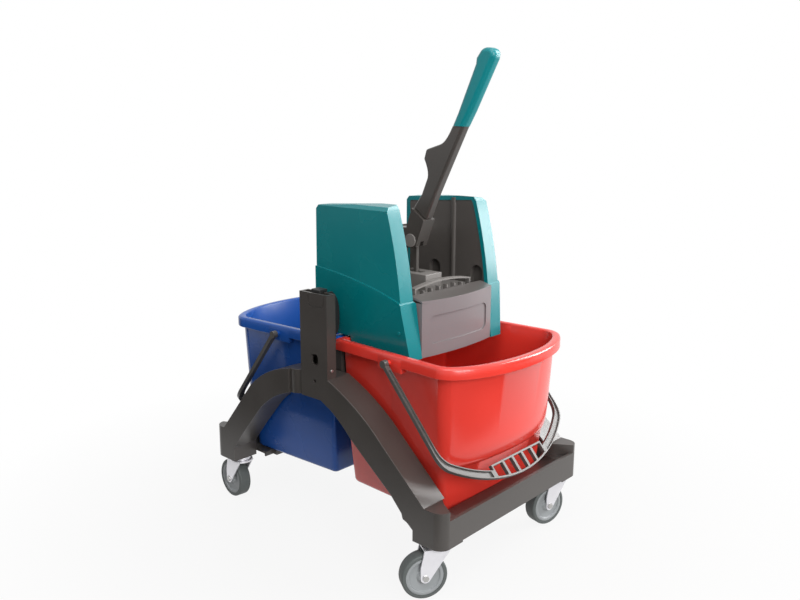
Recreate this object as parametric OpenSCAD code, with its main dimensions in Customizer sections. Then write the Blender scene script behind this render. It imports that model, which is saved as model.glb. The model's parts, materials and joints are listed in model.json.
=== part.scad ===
// Double mop bucket trolley: two lift-out buckets on a four-caster frame, with a lever press
// hung over one bucket. Millimetres, +Z up. The origin is on the floor under the middle of
// the frame, +X points to the red bucket and -Y is the near side.

/* [Frame] */
// frame length over the outer faces of the end beams
frame_len = 576; // [570:1:584]
// frame width over the outer faces of the side arches
frame_w = 400; // [396:1:408]
// depth of the side arches across the trolley
arm_t = 52; // [48:1:54]
// underside of the corner blocks above the floor
block_z0 = 90; // [88:1:92]
// top of the corner blocks
block_z1 = 152; // [150:1:156]
// length of a corner block along the trolley
block_l = 60; // [58:1:64]
// outside radius of a corner block
block_r = 19; // [14:1:22]
// top of the end beams' lips
lip_z = 137; // [135:1:140]
// top of a tower
tower_z = 456; // [453:1:459]
// moulded wall of the frame
wall = 4; // [3:0.5:5]
// radius of the accessory hole in a tower's outer face
hole_r = 3.25; // [2.5:0.25:4]

/* [Casters] */
// wheel diameter
wheel_d = 75; // [70:1:78]
// wheel width
wheel_w = 23; // [20:1:24]
// distance from the swivel axis to the axle, seen from above
trail = 25; // [22:1:28]
// radius of the wheel axle
axle_r = 4; // [3:0.5:5]
// swivel heading of the near front caster's trail
turn_fn = 237.5; // [220:0.5:260]
// swivel heading of the far front caster's trail
turn_ff = 255; // [240:0.5:270]
// swivel heading of the near rear caster's trail
turn_rn = 175.5; // [160:0.5:190]

/* [Buckets] */
// underside of a bucket above the floor
bucket_z0 = 103; // [102:1:106]
// top of the rim
rim_z = 368; // [366:1:370]
// height of the rim's skirt
skirt_h = 19; // [16:1:19]
// moulded wall of a bucket
bucket_wall = 3; // [2:0.5:3.5]
// height at which the bowed end starts to curve under
step_z = 228; // [222:1:234]

/* [Bails] */
// pivot of a bail along the trolley
bail_x = 138; // [136:1:140]
// pivot of a bail above the floor
bail_z = 354; // [352:1:355]
// how far the red bucket's hanging bail points below level
red_drop = 49; // [45:0.5:52]
// how far the blue bucket's hanging bail points below level
blue_drop = 52; // [48:0.5:54]
// reach of a bail from its pivot to the grip's outer edge
bail_reach = 250; // [247:1:253]
// thickness of a bail
bail_t = 7; // [6:0.5:8]
// radius of the stub pin a bail turns on
bail_pin_r = 4; // [3:0.25:4.5]

/* [Press] */
// top of the press cheeks
press_z1 = 602; // [598:1:606]
// underside of the press, inside the bucket
press_z0 = 351; // [350:1:354]
// moulded wall of the cheeks
shell_t = 3.5; // [3:0.5:4]
// half the clear width between the inner panels
chamber_half = 100; // [99:0.5:101]
// gaps in the comb of the press plate
comb_gaps = 7; // [5:1:8]
// slots in a row of the drain tray
drain_slots = 9; // [5:1:9]

/* [Lever] */
// lever axle along the trolley
lever_x = -22; // [-24:0.5:-20]
// lever axle above the floor
lever_z = 530; // [528:0.5:532]
// crank length from the lever axle to the link's upper pin
crank = 80; // [78:0.5:82]
// length of the link between its pins
link_l = 70; // [68:0.5:71]
// thickness of the lever arm across the trolley
arm_bar_t = 20; // [17:1:22]

/* [Hidden] */
$fn = 72;
// space kept between flat faces of pieces that slide past each other
gap = 0.3;
// running clearance of a pin in its hole
run = 0.1;
half_l = frame_len / 2;
half_w = frame_w / 2;
arm_in = half_w - arm_t;
block_x0 = half_l - block_l;

// towers
tower_x0 = -28;
tower_x1 = 38;
tower_t = 20;
tower_in = half_w - tower_t;
tower_base_z = 273;
tower_base_top = 312;
hole_x = 6;
hole_z = 304;

// end beams
beam_lip_t = 6;
beam_floor_z = bucket_z0;
beam_in_x = 198;
beam_z0 = block_z0 + 3;
bed_x = 252;
bed_z = 130;

// casters
swivel_x = half_l - 30;
rear_swivel_x = half_l - 44;
swivel_y = half_w - 28;
crown_r = 21;
crown_z0 = 81;
crown_t = 3;
stem_r = 5.5;
stem_l = 34;
leg_t = 2.5;
leg_in = wheel_w / 2 + 1.5;
tyre_in_r = wheel_d / 2 - 6.5;

// buckets: each ring is [inner end x, half width there, corner x, half width there, apex x]
rim_ring = [1.5, 150, 250, 163, 309];
upper_ring = [14.5, 141, 246, 153, 298];
step_ring = [18, 134, 243, 147, 288];
edge_ring = [18.5, 133.5, 242, 146, 281];
waist_ring = [19, 133, 240, 144, 266];
foot_ring = [22, 127, 236, 137, 246];
bow_turn = 76;
ear_half = 27;
ear_in = 145;
ear_drop = 14;

// bails
bail_y = 168.5;
bail_w = 9;
bail_elbow = 184;
bail_eye_r = 6.5;
elbow_cut = 14;

// press
cheek_out = 134;
cheek_in = chamber_half + 3;
cheek_rear_x = -57;
ledge_z = 447;
sill_z = 372;
panel_t = 3;
front_bow_r = 592;
front_x = 162;
tray_x0 = 26;
tray_t = 4;
inner_half = 95.5;
hanger_y = tower_in - 6;
pin_r = 4;
lever_axle_r = 8;
boss = [lever_x + crank, lever_z];
link_foot_z = lever_z - link_l;
plate_z = 436;
guide_x = 59;

// points on a quadratic curve from a to c, pulled towards b
function bend(a, b, c, n = 8) =
    [for (i = [0:n]) let (t = i / n) (1 - t) * (1 - t) * a + 2 * t * (1 - t) * b + t * t * c];

function unit(v) = v / norm(v);

function left_of(v) = [-v[1], v[0]];

// a corner of an outline moved inwards by d, for points listed anticlockwise
function inset_corner(a, p, b, d) =
    let (n1 = left_of(unit(p - a)), n2 = left_of(unit(b - p)))
    p + d * (n1 + n2) / (1 + n1 * n2);

function inset(pts, d) =
    let (n = len(pts))
    [for (i = [0:n - 1]) inset_corner(pts[(i + n - 1) % n], pts[i], pts[(i + 1) % n], d)];

// a flat outline in x and z, given depth from y0 to y1
module slab_y(y0, y1) {
    translate([0, y1, 0])
        rotate([90, 0, 0])
            linear_extrude(y1 - y0)
                children();
}

// a flat outline in y and z, given depth from x0 to x1
module slab_x(x0, x1) {
    translate([x0, 0, 0])
        rotate([90, 0, 90])
            linear_extrude(x1 - x0)
                children();
}

module block_at(lo, hi) {
    translate(lo)
        cube(hi - lo);
}

module rod_y(x, z, r, y0, y1) {
    translate([x, y0, z])
        rotate([-90, 0, 0])
            cylinder(r = r, h = y1 - y0);
}

module far() {
    mirror([0, 1, 0])
        children();
}

module rear() {
    mirror([1, 0, 0])
        children();
}

// a rectangle with true round corners
module round_rect(w, h, r) {
    for (sx = [-1, 1], sy = [-1, 1])
        translate([sx * (w / 2 - r), sy * (h / 2 - r)])
            circle(r);
    square([w - 2 * r, h], center = true);
    square([w, h - 2 * r], center = true);
}

// side arches
front_top = bend([tower_x1, 312], [98, 286], [139, 252]);
front_under = bend([92, 222], [62, 252], [tower_x1, 264]);
front_outline = concat([[block_x0, 108], [block_x0, block_z1], [250.5, block_z1]],
    [for (i = [len(front_top) - 1:-1:0]) front_top[i]],
    [for (i = [len(front_under) - 1:-1:0]) front_under[i]],
    [[138, 186], [180, 154], [204, 129], [207, 120], [216, 117]]);
rear_top = bend([tower_x0, 316], [-112, 312], [-170, 259]);
rear_under = bend([-144, 220], [-92, 270], [tower_x0, tower_base_z]);
rear_outline = concat(rear_top, [[-244, 171], [-260, block_z1], [-block_x0, block_z1],
    [-block_x0, 119], [-218, 133], [-192, 165]], rear_under);

// an arch half: a channel closed outside, above and below, with webs across its open inside
module arch_half(outline, webs) {
    slab_y(-half_w, -half_w + wall)
        polygon(outline);
    slab_y(-half_w + wall, -arm_in)
        difference() {
            polygon(outline);
            polygon(inset(outline, wall));
        }
    slab_y(-half_w + wall, -arm_in - wall)
        intersection() {
            polygon(outline);
            for (x = webs)
                translate([x, 90])
                    square([wall, 240]);
        }
}

module near_front_arm() {
    color("#45413d")
        arch_half(front_outline, [70, 110, 150, 190]);
}

// the half-round column beside the tower, set off by a groove on either side
module near_rear_arm() {
    column_x = -45;
    column_r = 26;
    column_half = 17;
    column_z0 = 240;
    column_z1 = 330;
    color("#45413d")
        difference() {
            union() {
                arch_half(rear_outline, [-190, -150, -110]);
                slab_y(-half_w + wall, -half_w + 2 * wall)
                    intersection() {
                        polygon(rear_outline);
                        translate([column_x - column_half - wall, column_z0])
                            square([column_half + wall - column_x + tower_x0, column_z1 - column_z0]);
                    }
            }
            difference() {
                block_at([column_x - column_half, -half_w - 1, column_z0],
                    [tower_x0 + 1, -half_w + wall, column_z1]);
                translate([column_x, -half_w + column_r, column_z0])
                    cylinder(r = column_r, h = column_z1 - column_z0);
            }
        }
}

module far_front_arm() {
    far()
        near_front_arm();
}

module far_rear_arm() {
    far()
        near_rear_arm();
}

// towers
module tower_outline() {
    polygon([[tower_x0, tower_base_z], [20, tower_base_z], [tower_x1, 264], [tower_x1, tower_z],
        [tower_x0, tower_z]]);
}

// the screw in a tower's front face, axis along +X
screw_r = 2;
screw_l = 7;

module at_tower_screw() {
    screw_z = 326;
    translate([tower_x1, -half_w + tower_t / 2, screw_z])
        rotate([0, 90, 0])
            children();
}

module near_tower() {
    pocket_floor = 330;
    slot = [7.3, 342];
    groove_x = 12;
    groove_z = 433;
    groove_half = 18;
    groove_w = 1.6;
    groove_d = 0.8;
    color("#45413d")
        difference() {
            union() {
                slab_y(-half_w, -tower_in)
                    tower_outline();
                slab_y(-half_w, -arm_in)
                    intersection() {
                        tower_outline();
                        translate([tower_x0, 250])
                            square([tower_x1 - tower_x0, tower_base_top - 250]);
                    }
            }
            // the open top that takes the hanger's hook
            block_at([tower_x0 + wall, -half_w + wall, pocket_floor],
                [tower_x1 - wall, -tower_in - wall, tower_z + 1]);
            // the pocket behind the base
            block_at([tower_x0 + wall, -half_w + wall, tower_base_z + wall],
                [tower_x1 - wall, -arm_in + 1, tower_base_top - wall]);
            rod_y(hole_x, hole_z, hole_r, -half_w - 1, -half_w + wall + 1);
            // the upright accessory slot above the hole
            slab_y(-half_w - 1, -half_w + wall + 1)
                translate(slot)
                    round_rect(16, 19, 5);
            // the groove that marks the top of the outer face
            slab_y(-half_w - 1, -half_w + groove_d)
                translate([groove_x, groove_z + 2 * groove_half])
                    difference() {
                        round_rect(2 * groove_half + 2 * groove_w, 4 * groove_half, 9.6);
                        round_rect(2 * groove_half, 4 * groove_half - 2 * groove_w, 8);
                    }
            at_tower_screw()
                cylinder(r = screw_r + 0.05, h = 2 * screw_l, center = true);
        }
}

module far_tower() {
    far()
        near_tower();
}

// end beams: a floor the bucket stands on, a shallow bed and a lip in front of it, ribs below
module end_beam() {
    floor_t = 5;
    rib_step = 49;
    toe_x = 187;
    toe_half = 130;
    lip_x = half_l - beam_lip_t;
    slab_y(-arm_in, arm_in)
        polygon([[beam_in_x, beam_z0], [beam_in_x + wall, beam_z0],
            [beam_in_x + wall, beam_floor_z - floor_t], [bed_x + floor_t, beam_floor_z - floor_t],
            [bed_x + floor_t, bed_z - floor_t], [lip_x, bed_z - floor_t], [lip_x, beam_z0],
            [half_l, beam_z0], [half_l, lip_z], [lip_x, lip_z], [lip_x, bed_z], [bed_x, bed_z],
            [bed_x, beam_floor_z], [beam_in_x, beam_floor_z]]);
    block_at([toe_x, -toe_half, beam_z0], [beam_in_x + 1, toe_half, beam_floor_z]);
    for (i = [-2:2])
        block_at([beam_in_x + wall, i * rib_step - wall / 2, beam_z0 + 2],
            [lip_x, i * rib_step + wall / 2, beam_floor_z - floor_t]);
}

module front_beam() {
    color("#77736e")
        end_beam();
}

module rear_beam() {
    color("#45413d")
        rear()
            end_beam();
}

// the beam between the towers that carries the buckets' inner rims
module cross_beam() {
    beam_half = 13;
    beam_low = 288;
    beam_top = rim_z - skirt_h - 0.2;
    plate = 5;
    color("#45413d") {
        difference() {
            block_at([-beam_half, -arm_in + plate, beam_low], [beam_half, arm_in - plate, beam_top]);
            block_at([-beam_half + wall, -arm_in + 2 * plate, beam_low - 1],
                [beam_half - wall, arm_in - 2 * plate, beam_top - wall]);
        }
        for (s = [-1, 1])
            scale_y(s)
                block_at([tower_x0 + wall, arm_in - plate, tower_base_z + wall],
                    [tower_x1 - wall, arm_in, tower_base_top - wall]);
    }
}

module scale_y(s) {
    mirror([0, s < 0 ? 1 : 0, 0])
        children();
}

// corner blocks: hollow, with a socket for the caster's stem
module block_plan(d) {
    r = block_r - d;
    difference() {
        translate([block_x0 + d, arm_in + d])
            square([block_l - 2 * d, arm_t - 2 * d]);
        translate([half_l - block_r, half_w - block_r])
            square(block_r + 1);
    }
    intersection() {
        translate([half_l - block_r, half_w - block_r])
            circle(r);
        translate([half_l - block_r, half_w - block_r])
            square(block_r);
    }
}

// the narrower upper part of a block, drawn back from the bed at its side
module cap_plan(d) {
    intersection() {
        block_plan(d);
        polygon([[block_x0, arm_in], [244 - d, arm_in], [262 - d, 165 + d], [half_l, 181 + d],
            [half_l, half_w], [block_x0, half_w]]);
    }
}

module lip_plan() {
    intersection() {
        block_plan(0);
        translate([half_l - beam_lip_t, arm_in])
            square([beam_lip_t, arm_t]);
    }
}

// the space left inside a block between its floor and z1, round the stem's socket
module block_hollow(stem_x, z1) {
    socket_r = 11;
    floor_z = block_z0 + wall;
    translate([0, 0, floor_z])
        linear_extrude(z1 - wall - floor_z)
            difference() {
                children();
                translate([stem_x, swivel_y])
                    circle(socket_r);
            }
}

module corner_block(stem_x) {
    difference() {
        translate([0, 0, block_z0]) {
            linear_extrude(bed_z - block_z0)
                block_plan(0);
            linear_extrude(lip_z - block_z0)
                lip_plan();
            linear_extrude(block_z1 - block_z0)
                cap_plan(0);
        }
        block_hollow(stem_x, bed_z)
            block_plan(wall);
        block_hollow(stem_x, block_z1)
            cap_plan(wall);
        translate([stem_x, swivel_y, block_z0 - 1])
            cylinder(r = stem_r + 0.05, h = stem_l + 2);
    }
}

module block_fn() {
    color("#45413d")
        far()
            corner_block(swivel_x);
}

module block_ff() {
    color("#45413d")
        corner_block(swivel_x);
}

module block_rn() {
    color("#45413d")
        rear()
            far()
                corner_block(rear_swivel_x);
}

module block_rf() {
    color("#45413d")
        rear()
            corner_block(rear_swivel_x);
}

// a pan-head screw, head at the origin and shank along -Z
module screw(head_r, head_h, shank_r, shank_l) {
    cylinder(r = head_r, h = head_h);
    translate([0, 0, -shank_l])
        cylinder(r = shank_r, h = shank_l + 0.5);
}

module frame_screws() {
    color("#b4b4b2")
        for (s = [-1, 1])
            scale_y(s)
                at_tower_screw()
                    screw(2.8, 1.6, screw_r, screw_l - 0.5);
}

// casters, drawn with the swivel axis at the origin and the trail along +X
module at_caster(x, side, heading) {
    translate([x, side * swivel_y, 0])
        rotate([0, 0, heading])
            children();
}

module at_fn() {
    at_caster(swivel_x, -1, turn_fn)
        children();
}

module at_ff() {
    at_caster(swivel_x, 1, turn_ff)
        children();
}

module at_rn() {
    at_caster(-rear_swivel_x, -1, turn_rn)
        children();
}

// the hidden rear caster trails outwards as far as the near front one does
module at_rf() {
    at_caster(-rear_swivel_x, 1, 360 - turn_fn)
        children();
}

module caster_stem() {
    cup_r = 17;
    head_h = 3;
    color("#c9cac9") {
        translate([0, 0, crown_z0 - head_h])
            cylinder(r = stem_r, h = block_z0 + stem_l - crown_z0 + head_h);
        translate([0, 0, crown_z0 + crown_t + gap])
            cylinder(r = cup_r, h = block_z0 - crown_z0 - crown_t - gap);
        translate([0, 0, crown_z0 - head_h])
            cylinder(r = 8, h = head_h - gap);
    }
}

module fork_leg_plan() {
    top_lead = -17;
    difference() {
        union() {
            polygon([[top_lead, crown_z0 + crown_t], [trail + 2, crown_z0 + crown_t],
                [trail + 8.2, wheel_d / 2 + 18], [trail + 8.2, wheel_d / 2],
                [trail - 6.6, wheel_d / 2 - 5]]);
            translate([trail, wheel_d / 2])
                circle(8.2);
        }
        translate([trail, wheel_d / 2])
            circle(axle_r + 0.02);
    }
}

module caster_fork() {
    color("#d9d8dc") {
        difference() {
            union() {
                translate([0, 0, crown_z0])
                    cylinder(r = crown_r, h = crown_t);
                block_at([-17, -leg_in, crown_z0], [trail + 2, leg_in, crown_z0 + crown_t]);
            }
            translate([0, 0, crown_z0 - 1])
                cylinder(r = stem_r + run, h = crown_t + 2);
        }
        for (s = [-1, 1])
            scale_y(s)
                slab_y(leg_in, leg_in + leg_t)
                    fork_leg_plan();
    }
}

module caster_axle() {
    head_h = 2.5;
    out = leg_in + leg_t;
    color("#b4b4b2")
        translate([trail, 0, wheel_d / 2]) {
            rod_y(0, 0, axle_r, -out, out);
            for (s = [-1, 1])
                scale_y(s)
                    translate([0, out, 0])
                        rotate([-90, 0, 0])
                            cylinder(r = 5.5, h = head_h, $fn = 6);
        }
}

module caster_hub() {
    web_half = wheel_w / 2 - 3;
    color("#8e979b")
        translate([trail, 0, wheel_d / 2])
            rotate([90, 0, 0])
                rotate_extrude()
                    polygon([[axle_r + run, -wheel_w / 2 - 1], [10, -wheel_w / 2 - 1],
                        [13, -web_half], [tyre_in_r - 4, -web_half],
                        [tyre_in_r - 2, -wheel_w / 2 + 0.5], [tyre_in_r, -wheel_w / 2 + 0.5],
                        [tyre_in_r, wheel_w / 2 - 0.5], [tyre_in_r - 2, wheel_w / 2 - 0.5],
                        [tyre_in_r - 4, web_half], [13, web_half], [10, wheel_w / 2 + 1],
                        [axle_r + run, wheel_w / 2 + 1]]);
}

module caster_tyre() {
    shoulder = 3;
    bore_r = tyre_in_r + 0.2;
    color("#4d5552")
        translate([trail, 0, wheel_d / 2])
            rotate([90, 0, 0])
                rotate_extrude() {
                    translate([bore_r, -wheel_w / 2])
                        square([wheel_d / 2 - bore_r - shoulder, wheel_w]);
                    translate([bore_r, -wheel_w / 2 + shoulder])
                        square([wheel_d / 2 - bore_r, wheel_w - 2 * shoulder]);
                    for (s = [-1, 1])
                        translate([wheel_d / 2 - shoulder, s * (wheel_w / 2 - shoulder)])
                            circle(shoulder);
                }
}

// buckets: rings of points joined into one closed skin
function bow_point(q, t) =
    let (a = (2 * t - 1) * bow_turn)
    [q[2] + (q[4] - q[2]) * (cos(a) - cos(bow_turn)) / (1 - cos(bow_turn)),
        q[3] * sin(a) / sin(bow_turn)];

function narrowed(q, d) = [q[0] + d, q[1] - d, q[2] - d, q[3] - d, q[4] - d];

function blend(a, b, t) = a + (b - a) * t;

// the near half of a ring, from the inner end round to the start of the bow
function near_half(q, cut_in, cut_out, t0) =
    let (slope = (q[3] - q[1]) / (q[2] - q[0]))
    concat(
        bend([q[0], -q[1] + cut_in], [q[0], -q[1]], [q[0] + cut_in, -q[1] - slope * cut_in], 5),
        bend([q[2] - cut_out, -q[3] + slope * cut_out], [q[2], -q[3]], bow_point(q, t0), 6));

function ring(q, z, cut_in = 6) =
    let (t0 = 0.065, half = near_half(q, cut_in, 13, t0), n = len(half), bow_n = 12)
    concat(
        [for (p = half) [p[0], p[1], z]],
        [for (i = [1:bow_n - 1])
            let (p = bow_point(q, t0 + (1 - 2 * t0) * i / bow_n)) [p[0], p[1], z]],
        [for (i = [n - 1:-1:0]) [half[i][0], -half[i][1], z]]);

// a closed solid skinned over rings of equal length, capped at both ends
module skin(rings) {
    n = len(rings[0]);
    m = len(rings);
    pts = [for (r = rings) for (p = r) p];
    sides = [for (j = [0:m - 2], i = [0:n - 1])
        let (k = (i + 1) % n)
        each [[j * n + i, (j + 1) * n + i, (j + 1) * n + k],
            [j * n + i, (j + 1) * n + k, j * n + k]]];
    polyhedron(pts, concat([[for (i = [0:n - 1]) i]], sides,
        [[for (i = [n - 1:-1:0]) (m - 1) * n + i]]), convexity = 6);
}

module bucket_skin() {
    t = bucket_wall;
    skirt_z = rim_z - skirt_h;
    under_z = rim_z - 4;
    floor_z = bucket_z0 + 3.5;
    waist_z = step_z - 36;
    edge_z = step_z - 22;
    foot_z = bucket_z0 + 7;
    skin([
        ring(narrowed(foot_ring, 7), bucket_z0),
        ring(foot_ring, foot_z, 12),
        ring(waist_ring, waist_z),
        ring(blend(waist_ring, edge_ring, 0.7), waist_z + 7),
        ring(edge_ring, edge_z),
        ring(step_ring, step_z),
        ring(upper_ring, under_z),
        ring(narrowed(rim_ring, t), under_z),
        ring(narrowed(rim_ring, t), skirt_z),
        ring(rim_ring, skirt_z),
        ring(rim_ring, rim_z - 3),
        ring(narrowed(rim_ring, 3), rim_z),
        ring(narrowed(upper_ring, t), rim_z),
        ring(narrowed(step_ring, t), step_z),
        ring(narrowed(edge_ring, t), edge_z),
        ring(narrowed(blend(waist_ring, edge_ring, 0.7), t), waist_z + 7),
        ring(narrowed(waist_ring, t), waist_z),
        ring(narrowed(foot_ring, t), foot_z + 3, 12),
        ring(narrowed(foot_ring, 7 + t), floor_z)]);
}

// outer face of an ear, just proud of the rim's tapered side
function ear_out(x) =
    rim_ring[1] + (x - rim_ring[0]) * (rim_ring[3] - rim_ring[1]) / (rim_ring[2] - rim_ring[0]) + 0.2;

// a bucket with its two ears and the stub pins the bail turns on
module bucket() {
    ear_x0 = bail_x - ear_half;
    ear_x1 = bail_x + ear_half;
    ear_z0 = bail_z - ear_drop;
    bucket_skin();
    for (s = [-1, 1])
        scale_y(s) {
            translate([0, 0, ear_z0])
                linear_extrude(rim_z - 4 - ear_z0)
                    polygon([[ear_x0, ear_in], [ear_x1, ear_in], [ear_x1, ear_out(ear_x1)],
                        [ear_x0, ear_out(ear_x0)]]);
            rod_y(bail_x, bail_z, bail_pin_r, ear_out(bail_x) - 1, socket_end - 0.5);
        }
}

module red_bucket() {
    color("#e2382e")
        bucket();
}

module blue_bucket() {
    color("#2a4f90")
        rear()
            bucket();
}

// bails: flat hoops, drawn with x away from the pivot and y across the trolley
hoop_half = bail_y + bail_w / 2;
hoop_rise = bail_reach - bail_elbow - 4;
hoop_r = (hoop_half * hoop_half + hoop_rise * hoop_rise) / (2 * hoop_rise);
hoop_x = bail_reach - hoop_r;
socket_end = hoop_half - 1.5;
band = 14;
rail = 3.5;
grip_half = 68;
grip_x = bail_reach - 33;
grip_ribs = 4;
grip_pitch = 27;
rib_w = 6;
groove_edge = 2.2;

// one side of an edge of the hoop: along y = side, round the elbow, then round the bow
function hoop_edge(side, d) =
    let (r = hoop_r - d, corner = hoop_x + r * cos(asin(side / r)),
        turn = asin((side - elbow_cut) / r), bow_n = 14)
    concat([[0, side]],
        bend([corner - 1.6 * elbow_cut, side], [corner, side],
            [hoop_x + r * cos(turn), r * sin(turn)]),
        [for (i = [1:bow_n]) let (a = turn * (1 - i / bow_n)) [hoop_x + r * cos(a), r * sin(a)]]);

// the area inside an edge of the hoop
module hoop_area(side, d) {
    half = hoop_edge(side, d);
    polygon(concat(half, [for (i = [len(half) - 2:-1:0]) [half[i][0], -half[i][1]]]));
}

module grip_window() {
    difference() {
        intersection() {
            hoop_area(bail_y, rail);
            translate([grip_x + rail, -grip_half])
                square([bail_reach, 2 * grip_half]);
        }
        for (i = [0:grip_ribs - 1])
            translate([grip_x, (i - (grip_ribs - 1) / 2) * grip_pitch - rib_w / 2])
                square([bail_reach, rib_w]);
    }
}

module bail_plan() {
    difference() {
        hoop_area(hoop_half, 0);
        difference() {
            hoop_area(bail_y - bail_w / 2, band);
            translate([grip_x, -grip_half - rail])
                square([bail_reach, 2 * (grip_half + rail)]);
        }
        grip_window();
    }
}

module bail_groove() {
    groove_x = 14;
    difference() {
        intersection() {
            hoop_area(hoop_half - groove_edge, groove_edge);
            translate([groove_x, -hoop_half])
                square([bail_reach, 2 * hoop_half]);
        }
        hoop_area(bail_y - bail_w / 2 + groove_edge, band - groove_edge);
        translate([0, -grip_half - 3 * rail])
            square([2 * bail_reach, 2 * (grip_half + 3 * rail)]);
    }
}

module bail_hoop() {
    groove = 3;
    difference() {
        translate([0, 0, -bail_t / 2])
            linear_extrude(bail_t)
                bail_plan();
        translate([0, 0, bail_t / 2 - groove])
            linear_extrude(groove + 1)
                bail_groove();
    }
}

module bail(drop) {
    translate([bail_x, 0, bail_z])
        rotate([0, drop, 0])
            difference() {
                union() {
                    bail_hoop();
                    for (s = [-1, 1])
                        rod_y(0, 0, bail_eye_r, s * bail_y - bail_w / 2, s * bail_y + bail_w / 2);
                }
                for (s = [-1, 1])
                    scale_y(s)
                        rod_y(0, 0, bail_pin_r + run, bail_y - bail_w / 2 - 1, socket_end);
            }
}

module red_bail() {
    color("#5b5957")
        bail(red_drop);
}

module blue_bail() {
    color("#5b5957")
        rear()
            bail(blue_drop);
}

// press cheeks: the side view cut with the end view gives the drafted shell
cheek_front = bend([141, ledge_z], [133, 520], [110.5, press_z1 - 8], 6);
cheek_side = concat([[cheek_rear_x, sill_z], [20, sill_z], [24, press_z0], [156, press_z0],
    [143, ledge_z - 2]], cheek_front, [[103.5, press_z1 + 2],
    [cheek_rear_x + 6, press_z1 - 8], [cheek_rear_x, press_z1 - 15]]);
cheek_end = [[-96, press_z0], [-122, press_z0], [-cheek_out, ledge_z - 4],
    [-cheek_out + 1, press_z1 - 9], [-cheek_out + 8, press_z1 - 3], [-cheek_in, press_z1],
    [-cheek_in, ledge_z], [-98, ledge_z - 4]];
// the proud lower part of the shell and the seam along its top
skirt_out = cheek_out + 3;
skirt_end = [[-110, press_z0], [-126, press_z0], [-skirt_out, ledge_z - 4], [-skirt_out, 500],
    [-110, 500]];
seam = bend([143, ledge_z], [68, 475], [cheek_rear_x, 487]);
below_seam = concat([[cheek_rear_x - 1, press_z0 - 1], [200, press_z0 - 1], [200, ledge_z]], seam,
    [[cheek_rear_x - 1, 487]]);

module cheek_form() {
    intersection() {
        slab_y(-140, -90)
            polygon(cheek_side);
        slab_x(-80, 200)
            polygon(cheek_end);
    }
    intersection() {
        slab_y(-140, -90)
            intersection() {
                polygon(cheek_side);
                polygon(below_seam);
            }
        slab_x(-80, 200)
            polygon(skirt_end);
    }
}

module cheek_boss(inner_r, outer_r) {
    difference() {
        rod_y(lever_x, lever_z, outer_r, -cheek_out + 2, -cheek_in - panel_t - 2);
        rod_y(lever_x, lever_z, inner_r, -cheek_out + 3.5, -cheek_in);
    }
}

// the screw in the far cheek's outer face, axis along +Y
cheek_head_r = 3.5;
cheek_screw_r = 1.6;
cheek_screw_l = 5;

module at_cheek_screw() {
    translate([136, 131.4, 397])
        rotate([-90, 0, 0])
            children();
}

// the recess that takes the inner panel
panel_edge = 8;
panel_face = -cheek_in - 1;

module near_cheek() {
    boss_r = 14;
    color("#03686a") {
        difference() {
            cheek_form();
            // the hollow behind the panel
            intersection() {
                slab_y(-cheek_out + shell_t, -90)
                    polygon(inset(cheek_side, panel_edge + shell_t));
                slab_x(-80, 200)
                    polygon([[-90, press_z0 + 10], [-120, press_z0 + 10], [-130, ledge_z],
                        [-128, press_z1 - 12], [-90, press_z1 - 12]]);
            }
            slab_y(panel_face - panel_t, -90)
                polygon(inset(cheek_side, panel_edge));
            far()
                at_cheek_screw()
                    screw(cheek_head_r + 0.1, 3, cheek_screw_r + 0.05, cheek_screw_l + 0.2);
        }
        cheek_boss(lever_axle_r + 0.05, boss_r);
    }
}

module far_cheek() {
    far()
        near_cheek();
}

// inner panels: guide rib and two round-topped pockets, closed behind
module panel_pockets(grow) {
    pocket_half = 13 + grow;
    pocket_z0 = 440 - grow;
    pocket_z1 = 465;
    for (x = [15, 114]) {
        translate([x, pocket_z1])
            circle(pocket_half);
        translate([x - pocket_half, pocket_z0])
            square([2 * pocket_half, pocket_z1 - pocket_z0]);
    }
}

module near_panel() {
    guide_r = 5.5;
    guide_z0 = 376;
    guide_z1 = 588;
    guide_top = press_z1 - 4;
    guide_out = panel_face + 4;
    pocket_d = 6;
    liner_t = 2;
    panel_back = panel_face - panel_t;
    color("#3f3c3a") {
        difference() {
            slab_y(panel_back, panel_face)
                polygon(inset(cheek_side, panel_edge + 0.1));
            rod_y(lever_x, lever_z, lever_axle_r + 0.1, -140, -90);
            slab_y(panel_back - 1, -90)
                panel_pockets(0);
        }
        difference() {
            slab_y(panel_back - pocket_d - liner_t, panel_back + 0.5)
                intersection() {
                    panel_pockets(liner_t);
                    polygon(inset(cheek_side, panel_edge + shell_t + gap));
                }
            slab_y(panel_back - pocket_d, -90)
                panel_pockets(0);
        }
        // the half-round guide rib, which runs on over the cheek's border
        intersection() {
            translate([guide_x, guide_out - guide_r, guide_z0])
                cylinder(r = guide_r, h = guide_top - guide_z0);
            union() {
                block_at([guide_x - guide_r, panel_back + 1, guide_z0],
                    [guide_x + guide_r, guide_out, guide_z1]);
                block_at([guide_x - guide_r, -cheek_in + gap, guide_z0],
                    [guide_x + guide_r, guide_out, guide_top]);
            }
        }
    }
}

module far_panel() {
    far()
        near_panel();
}

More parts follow.
